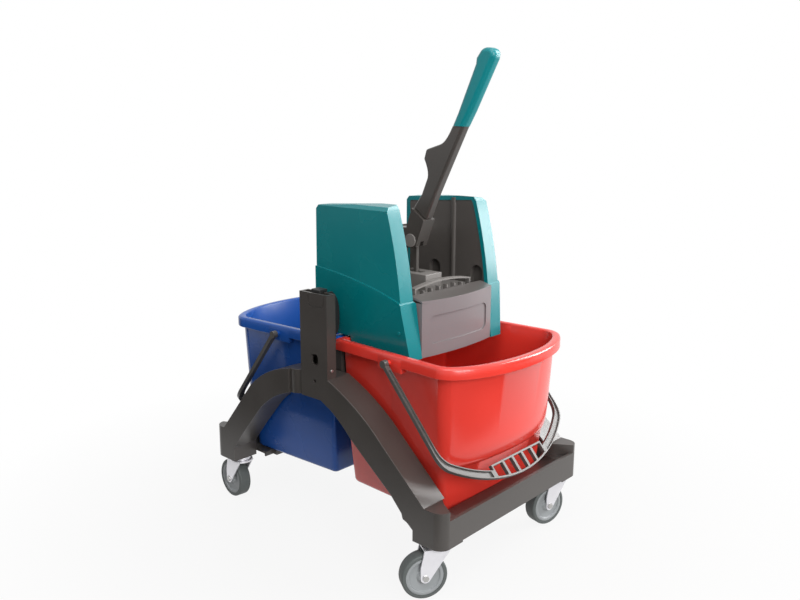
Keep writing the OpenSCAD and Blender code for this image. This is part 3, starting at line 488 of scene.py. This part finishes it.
def ear(bm, end, side):
    """The ear under a bucket's rim and the stub pin that the bail turns on."""
    x0, x1 = BAIL_X - EAR_HALF, BAIL_X + EAR_HALF
    plan = [(x0, EAR_IN), (x1, EAR_IN), (x1, ear_out(x1)), (x0, ear_out(x0))]
    old = set(bm.faces)
    loft(bm, [[(end * x * MM, side * y * MM, z * MM) for x, y in plan]
              for z in (BAIL_Z - EAR_DROP, RIM_Z - RIM_ROUND)])
    bevel(bm, list({e for f in bm.faces if f not in old for e in f.edges}), MOULDED_EDGE, 2)
    bmesh.ops.recalc_face_normals(bm, faces=[f for f in bm.faces if f not in old])
    pin_from = ear_out(BAIL_X) - BAIL_PIN_ROOT
    rod(bm, (end * BAIL_X, side * (pin_from + BAIL_PIN_END) / 2, BAIL_Z), (0, 1, 0), BAIL_PIN_R,
        BAIL_PIN_END - pin_from, STEM_EDGE)


def bucket(node, end):
    """A lift-out bucket; end is 1 for the red end of the trolley and -1 for the blue one."""
    bm = bmesh.new()
    loft(bm, [[(end * x * MM, y * MM, z * MM) for x, y in bucket_ring(ring, cut_in)]
              for ring, z, cut_in in bucket_levels()])
    if end < 0:
        # the mirrored outline has turned the skin inside out
        bmesh.ops.reverse_faces(bm, faces=bm.faces)
    for side in (-1, 1):
        ear(bm, end, side)
    stand_for(piece(node + "_form", bm, finish_of(node), sharp=42), node)


bucket("red_bucket", 1)
bucket("blue_bucket", -1)


def turned(node, profile, joint, steps=96):
    """A round piece from a profile of (radius, place along the axle) in mm, turned about an axle."""
    bm = bmesh.new()
    axis = Vector(JOINTS[joint]["axis"]).normalized()
    place = Matrix.Translation(Vector(JOINTS[joint]["pos_m"]))
    turn = Vector((0, 0, 1)).rotation_difference(axis).to_matrix().to_4x4()
    rows = []
    for i in range(steps):
        a = 2 * math.pi * i / steps
        rows.append([bm.verts.new(place @ turn @ (Vector((r * math.cos(a), r * math.sin(a), w)) * MM))
                     for r, w in profile])
    for i in range(steps):
        this, following = rows[i], rows[(i + 1) % steps]
        for k in range(len(profile)):
            j = (k + 1) % len(profile)
            bm.faces.new((this[k], following[k], following[j], this[j]))
    bmesh.ops.recalc_face_normals(bm, faces=bm.faces)
    stand_for(piece(node + "_form", bm, finish_of(node), sharp=40), node)


def mirrored_profile(half):
    """A closed profile from its half above the middle, bore first."""
    return half + [(r, -w) for r, w in reversed(half)]


def caster(corner):
    """A caster's tyre and hub, turned, and its fork, axle and stem."""
    spin = "wheel_%s_spin" % corner
    radius = WHEEL_D / 2
    half = WHEEL_W / 2
    tyre_in = radius - TYRE_T
    web = half - WEB_DEPTH
    shoulder = [(radius - TYRE_SHOULDER * (1 - math.sin(a)), half - TYRE_SHOULDER * (1 - math.cos(a)))
                for a in [math.radians(15 * i) for i in range(7)]]
    turned("tyre_" + corner, mirrored_profile([(tyre_in + TYRE_PLAY, half)] + shoulder), spin)
    boss = [
        (AXLE_R + HUB_PLAY, half + 1), (9.4, half + 1), (10, half + 0.6), (11, half - 1.2), (13, web)]
    rim = [
        (tyre_in - 7.5, web), (tyre_in - 6.4, web + 0.5), (tyre_in - 5.6, half - 0.9),
        (tyre_in - 4.8, half - 0.4), (tyre_in - 0.6, half - 0.4), (tyre_in, half - 0.8)]
    turned("hub_" + corner, mirrored_profile(boss + rim), spin)
    rounded_copy("fork_" + corner, FINE_EDGE)
    rounded_copy("axle_" + corner, PIN_EDGE)
    rounded_copy("stem_" + corner, STEM_EDGE)


for corner in CASTERS:
    caster(corner)


# how near a plane an edge lies to be in it, and how far up or ahead a face looks to count as doing so
PLANE_PLAY_MM = 0.05
LOOKS_UP = 0.25
LOOKS_AHEAD = 0.5


def in_plane(edge, axis, *places):
    """Whether an edge lies in one of the planes at these distances in mm either side of the origin."""
    return any(all(abs(abs(v.co[axis]) - p * MM) < PLANE_PLAY_MM * MM for v in edge.verts)
               for p in places)


def inner_top(edge):
    """The long edge where an arch's top turns in towards the buckets."""
    return in_plane(edge, 1, ARM_IN) and any(face.normal.z > LOOKS_UP for face in edge.link_faces)


def arm_joint(edge):
    """Edges of an arch where it runs on into its corner block or its tower."""
    return in_plane(edge, 0, BLOCK_X0, -TOWER_X[0], TOWER_X[1]) or in_plane(edge, 2, BLOCK_Z1)


def block_joint(edge):
    """Edges of a corner block or an end beam where one runs on into the other or into an arch."""
    return in_plane(edge, 0, BLOCK_X0) or in_plane(edge, 1, ARM_IN)


def tower_joint(edge):
    """Edges of a tower's foot where the arches meet it."""
    low = all(v.co.z < (ARM_TOP_Z + 2 * PLANE_PLAY_MM) * MM for v in edge.verts)
    return low and in_plane(edge, 0, -TOWER_X[0], TOWER_X[1])


def socket_side(edge):
    """The outline of the lever's socket on either side."""
    return in_plane(edge, 1, SOCKET_HALF)


def arm_front(edge):
    """The long edges of the lever arm's front."""
    return any(face.normal.x > LOOKS_AHEAD for face in edge.link_faces)


def grip_joint(edge):
    """Edges where the lever's arm runs on into its grip."""
    return all(abs(v.co.z - GRIP_Z * MM) < GRIP_Z_PLAY * MM for v in edge.verts)


for node in ("near_front_arm", "near_rear_arm", "far_front_arm", "far_rear_arm"):
    rounded_copy(node, MOULDED_EDGE, wide=inner_top, wide_width=ARCH_BROAD_EDGE, flush=arm_joint)
for node in ("near_tower", "far_tower"):
    rounded_copy(node, TOWER_EDGE, flush=tower_joint, split_z=ARM_TOP_Z)
for node in ("front_beam", "rear_beam"):
    rounded_copy(node, MOULDED_EDGE, flush=block_joint)
for corner in CASTERS:
    rounded_copy("block_" + corner, BLOCK_EDGE, segments=3, flush=block_joint)
for node in ("near_cheek", "far_cheek"):
    rounded_copy(node, CHEEK_EDGE, segments=3)
for node in ("near_hanger", "far_hanger"):
    rounded_copy(node, HOOK_EDGE, segments=3)
for node in ("cross_beam", "front_panel", "crank_pin", "press_plate"):
    rounded_copy(node, MOULDED_EDGE)
for node in ("near_panel", "far_panel", "chamber_wall", "rear_wall", "drain_tray", "red_bail",
             "blue_bail", "link", "lever_axle", "frame_screws"):
    rounded_copy(node, FINE_EDGE)
rounded_copy("link_pin", STEM_EDGE)
rounded_copy("cheek_screws", PIN_EDGE)
rounded_copy("lever_socket", SOCKET_EDGE, wide=socket_side, wide_width=LEVER_BROAD_EDGE)
rounded_copy("lever_arm", LEVER_EDGE, segments=3, wide=arm_front, wide_width=LEVER_BROAD_EDGE,
             wide_first=True, flush=grip_joint)
rounded_copy("lever_grip", GRIP_EDGE, segments=5, flush=grip_joint)


def comb_tree():
    """Geometry Nodes: the teeth of a comb, stood in a row under an arched rail and joined to it."""
    tree = bpy.data.node_groups.new("comb_teeth", "GeometryNodeTree")
    sockets = tree.interface
    sockets.new_socket("Rail", in_out="INPUT", socket_type="NodeSocketGeometry")
    for name, kind in (("Count", "NodeSocketInt"), ("Pitch", "NodeSocketFloat"),
                       ("Foot", "NodeSocketVector"), ("Thickness", "NodeSocketVector"),
                       ("Arch Radius", "NodeSocketFloat"), ("Arch Centre Height", "NodeSocketFloat"),
                       ("Material", "NodeSocketMaterial")):
        sockets.new_socket(name, in_out="INPUT", socket_type=kind)
    sockets.new_socket("Comb", in_out="OUTPUT", socket_type="NodeSocketGeometry")
    given = add(tree, "NodeGroupInput").outputs

    # a row of feet, and a tooth one metre tall that is scaled to reach from each foot to the arch
    step = add(tree, "ShaderNodeCombineXYZ", {"Y": given["Pitch"]})
    row = add(tree, "GeometryNodeMeshLine", {
        "Count": given["Count"], "Start Location": given["Foot"], "Offset": step.outputs[0]})
    tooth = add(tree, "GeometryNodeMeshCube", {
        "Size": given["Thickness"], "Vertices X": 3, "Vertices Y": 3, "Vertices Z": 2})
    foot = add(tree, "GeometryNodeInputPosition").outputs[0]
    where = add(tree, "ShaderNodeSeparateXYZ", {0: foot})

    # the arch's height over a foot, from the arch's radius and the foot's distance from the middle
    across = add(tree, "ShaderNodeMath", {0: where.outputs["Y"], 1: 2.0}, operation="POWER")
    radius = add(tree, "ShaderNodeMath", {0: given["Arch Radius"], 1: 2.0}, operation="POWER")
    under = add(tree, "ShaderNodeMath", {
        0: radius.outputs[0], 1: across.outputs[0]}, operation="SUBTRACT")
    rise = add(tree, "ShaderNodeMath", {0: under.outputs[0]}, operation="SQRT")
    top = add(tree, "ShaderNodeMath", {0: rise.outputs[0], 1: given["Arch Centre Height"]})
    height = add(tree, "ShaderNodeMath", {
        0: top.outputs[0], 1: where.outputs["Z"]}, operation="SUBTRACT")
    middle = add(tree, "ShaderNodeMath", {0: height.outputs[0], 1: 0.5}, operation="MULTIPLY")

    lift = add(tree, "ShaderNodeCombineXYZ", {"Z": middle.outputs[0]})
    tall = add(tree, "ShaderNodeCombineXYZ", {"X": 1.0, "Y": 1.0, "Z": height.outputs[0]})
    stood = add(tree, "GeometryNodeInstanceOnPoints", {
        "Points": row.outputs["Mesh"], "Instance": tooth.outputs["Mesh"], "Scale": tall.outputs[0]})
    raised = add(tree, "GeometryNodeTranslateInstances", {
        "Instances": stood.outputs[0], "Translation": lift.outputs[0]})
    joined = add(tree, "GeometryNodeJoinGeometry", {0: raised.outputs[0]})
    tree.links.new(given["Rail"], joined.inputs[0])
    real = add(tree, "GeometryNodeRealizeInstances", {0: joined.outputs[0]})
    painted = add(tree, "GeometryNodeSetMaterial", {
        "Geometry": real.outputs[0], "Material": given["Material"]})
    add(tree, "NodeGroupOutput", {"Comb": painted.outputs[0]})
    return tree


def comb_rail():
    """The foot rail, the two ends and the arched top rail of the press comb."""
    bm = bmesh.new()
    steps = 40
    low, high = [], []
    for i in range(steps + 1):
        y = COMB_HALF * (2 * i / steps - 1)
        crown = COMB_TOP - COMB_ARCH_R + math.sqrt(COMB_ARCH_R ** 2 - y * y)
        low.append((y, crown - COMB_RAIL))
        high.append((y, crown))
    outline = high + low[::-1]
    loft(bm, [[(x * MM, y * MM, z * MM) for y, z in outline] for x in COMB_X])
    block(bm, (COMB_X[0], -COMB_HALF, COMB_Z0), (COMB_X[1], COMB_HALF, COMB_Z0 + COMB_RAIL), COMB_EDGE)
    end_top = low[0][1] + COMB_SINK
    for side in (-1, 1):
        y0, y1 = sorted((side * (COMB_HALF - COMB_RAIL), side * COMB_HALF))
        block(bm, (COMB_X[0], y0, COMB_Z0), (COMB_X[1], y1, end_top), COMB_EDGE)
    bmesh.ops.recalc_face_normals(bm, faces=bm.faces)
    return piece("press_comb_rail", bm, PRESS_PA)


def press_comb():
    """The press comb: its rails with the teeth between them, whose ends sink into the rails."""
    rail = comb_rail()
    modifier = rail.modifiers.new("teeth", "NODES")
    modifier.node_group = comb_tree()
    inner_half = COMB_HALF - COMB_RAIL
    pitch = 2 * inner_half / COMB_GAPS
    sunk = COMB_RAIL - COMB_SINK
    first_foot = ((COMB_X[0] + COMB_X[1]) / 2, pitch - inner_half, COMB_Z0 + sunk)
    sizes = {
        "Count": COMB_GAPS - 1,
        "Pitch": pitch * MM,
        "Foot": tuple(c * MM for c in first_foot),
        "Thickness": ((COMB_X[1] - COMB_X[0] - 2 * COMB_TOOTH_INSET) * MM, COMB_TOOTH * MM, 1.0),
        "Arch Radius": (COMB_ARCH_R - sunk) * MM,
        "Arch Centre Height": (COMB_TOP - COMB_ARCH_R) * MM,
        "Material": PRESS_PA}
    for item in modifier.node_group.interface.items_tree:
        if item.name in sizes:
            modifier[item.identifier] = sizes[item.name]
    graph = bpy.context.evaluated_depsgraph_get()
    mesh = bpy.data.meshes.new_from_object(rail.evaluated_get(graph))
    rail.modifiers.clear()
    bpy.data.objects.remove(rail)
    comb = bpy.data.objects.new("press_comb_form", mesh)
    bpy.context.collection.objects.link(comb)
    stand_for(comb, "press_comb")


press_comb()


# the stage, in metres: how far it reaches, how far out the floor turns from shaded to white, the share
# of white at either distance, and the light that the backdrop gives the trolley
STAGE_REACH = 6
FLOOR_FADE = (0.3, 0.9)
FLOOR_WHITE = (0.9, 1.0)
BACKDROP_LIGHT = 0.2

# the point that the lamps look at
LAMP_AIM = Vector((0, 0, 0.35))


def flat(name, low, high, material):
    """A level sheet between two corners, or an upright one over the line between them."""
    bm = bmesh.new()
    if low[2] == high[2]:
        corners = (low, (high[0], low[1], low[2]), high, (low[0], high[1], low[2]))
    else:
        corners = (low, (high[0], high[1], low[2]), high, (low[0], low[1], high[2]))
    bm.faces.new([bm.verts.new(corner) for corner in corners])
    obj = piece(name, bm, material)
    return obj


def seen_rays(tree):
    """1 for the rays that show the backdrop: camera, glossy and transmission rays."""
    ray = add(tree, "ShaderNodeLightPath").outputs
    seen = add(tree, "ShaderNodeMath", {
        0: ray["Is Camera Ray"], 1: ray["Is Glossy Ray"]}, operation="MAXIMUM")
    return add(tree, "ShaderNodeMath", {
        0: seen.outputs[0], 1: ray["Is Transmission Ray"]}, operation="MAXIMUM").outputs[0]


def floor():
    """A pale floor: white at a distance, with more of its own shade and shadow near the trolley."""
    material, tree, place = bare("pale_floor")
    away = add(tree, "ShaderNodeVectorMath", {0: place}, operation="LENGTH")
    white_share = add(tree, "ShaderNodeMapRange", {
        "Value": away.outputs["Value"], "From Min": FLOOR_FADE[0], "From Max": FLOOR_FADE[1],
        "To Min": FLOOR_WHITE[0], "To Max": FLOOR_WHITE[1]})
    share = add(tree, "ShaderNodeMath", {
        0: seen_rays(tree), 1: white_share.outputs[0]}, operation="MULTIPLY")
    matt = add(tree, "ShaderNodeBsdfDiffuse", {"Color": linear("#a5a3a0")})
    white = add(tree, "ShaderNodeEmission", {"Color": linear("#ffffff"), "Strength": 1.0})
    mix = add(tree, "ShaderNodeMixShader", {
        0: share.outputs[0], 1: matt.outputs[0], 2: white.outputs[0]})
    add(tree, "ShaderNodeOutputMaterial", {"Surface": mix.outputs[0]})
    flat("floor", (-STAGE_REACH, -STAGE_REACH, 0), (STAGE_REACH, STAGE_REACH, 0), material)


def flags():
    """Black cloths round the trolley, two on the floor and one hung up, seen only in its reflections."""
    material, tree, place = bare("black_cloth")
    weave = add(tree, "ShaderNodeTexNoise", {"Vector": place, "Scale": 30.0})
    tone = add(tree, "ShaderNodeMix", {
        0: weave.outputs["Fac"], TONE_A: linear("#141414"), TONE_B: linear("#1e1e1e")},
        data_type="RGBA")
    cloth = add(tree, "ShaderNodeBsdfDiffuse", {"Color": tone.outputs[TONE]})
    add(tree, "ShaderNodeOutputMaterial", {"Surface": cloth.outputs[0]})
    meet_x = 0.71
    over_floor = 0.001
    for name, low, high in (
            ("front_flag", (meet_x, -STAGE_REACH, over_floor), (STAGE_REACH, 1.4, over_floor)),
            ("side_flag", (-STAGE_REACH, -STAGE_REACH, over_floor), (meet_x, -0.42, over_floor)),
            ("hung_flag", (1.75, 1.9, 2 * over_floor), (4, 1.9, 0.55))):
        obj = flat(name, low, high, material)
        obj.visible_camera = False
        obj.visible_diffuse = False
        obj.visible_shadow = False
        obj.visible_transmission = False


def sky():
    """A white backdrop all round, which gives the trolley only a low even light."""
    world = bpy.data.worlds.new("studio")
    bpy.context.scene.world = world
    world.use_nodes = True
    tree = world.node_tree
    tree.nodes.clear()
    level = add(tree, "ShaderNodeMapRange", {"Value": seen_rays(tree), "To Min": BACKDROP_LIGHT})
    shade = add(tree, "ShaderNodeBackground", {
        "Color": linear("#ffffff"), "Strength": level.outputs[0]})
    add(tree, "ShaderNodeOutputWorld", {"Surface": shade.outputs[0]})


def softbox(name, at, size, watts):
    """A square-edged soft lamp that looks at the middle of the trolley."""
    lamp = bpy.data.lights.new(name, "AREA")
    lamp.shape = "RECTANGLE"
    lamp.size, lamp.size_y = size
    lamp.energy = watts
    obj = bpy.data.objects.new(name, lamp)
    obj.location = at
    obj.rotation_euler = (LAMP_AIM - Vector(at)).to_track_quat("-Z", "Y").to_euler()
    bpy.context.collection.objects.link(obj)


def stage():
    """The floor, the flags, the backdrop and the lamps."""
    floor()
    flags()
    sky()
    softbox("key_softbox", at=(2.2, -0.8, 1.2), size=(1.2, 1.4), watts=40)
    softbox("low_rim_softbox", at=(1.15, 1.9, 0.8), size=(0.9, 0.8), watts=28)
    softbox("high_rim_softbox", at=(1.2, 1.8, 1.8), size=(1.0, 0.9), watts=40)
    softbox("top_softbox", at=(0.5, -0.2, 2.6), size=(1.6, 1.6), watts=20)
    softbox("front_softbox", at=(0.8, -1.4, 2.3), size=(1.4, 1.4), watts=18)


# the camera, fitted to the photograph: its place in metres, its angles in degrees, and its focal length
# in pixels of a frame 800 pixels wide
CAMERA_AT = Vector((1.0025, -1.0896, 0.7334))
CAMERA_HEADING = 42.058
CAMERA_PITCH = 12.248
CAMERA_ROLL = 0.229
FOCAL_PX = 820.85
FRAME_PX = 800
SENSOR_MM = 36


def photo_camera():
    """The camera at the photograph's viewpoint, with the photograph's angle of view."""
    heading = math.radians(CAMERA_HEADING)
    pitch = math.radians(CAMERA_PITCH)
    roll = math.radians(CAMERA_ROLL)
    ahead = Vector((-math.sin(heading) * math.cos(pitch), math.cos(heading) * math.cos(pitch),
                    -math.sin(pitch)))
    level_right = Vector((math.cos(heading), math.sin(heading), 0))
    level_up = level_right.cross(ahead)
    right = level_right * math.cos(roll) + level_up * math.sin(roll)
    up = level_up * math.cos(roll) - level_right * math.sin(roll)
    lens = bpy.data.cameras.new("photo_camera")
    lens.sensor_fit = "HORIZONTAL"
    lens.sensor_width = SENSOR_MM
    lens.lens = FOCAL_PX / FRAME_PX * SENSOR_MM
    obj = bpy.data.objects.new("photo_camera", lens)
    obj.matrix_world = Matrix.Translation(CAMERA_AT) @ Matrix((right, up, -ahead)).transposed().to_4x4()
    bpy.context.collection.objects.link(obj)
    bpy.context.scene.camera = obj


stage()
photo_camera()
bpy.context.scene.view_settings.view_transform = "Standard"
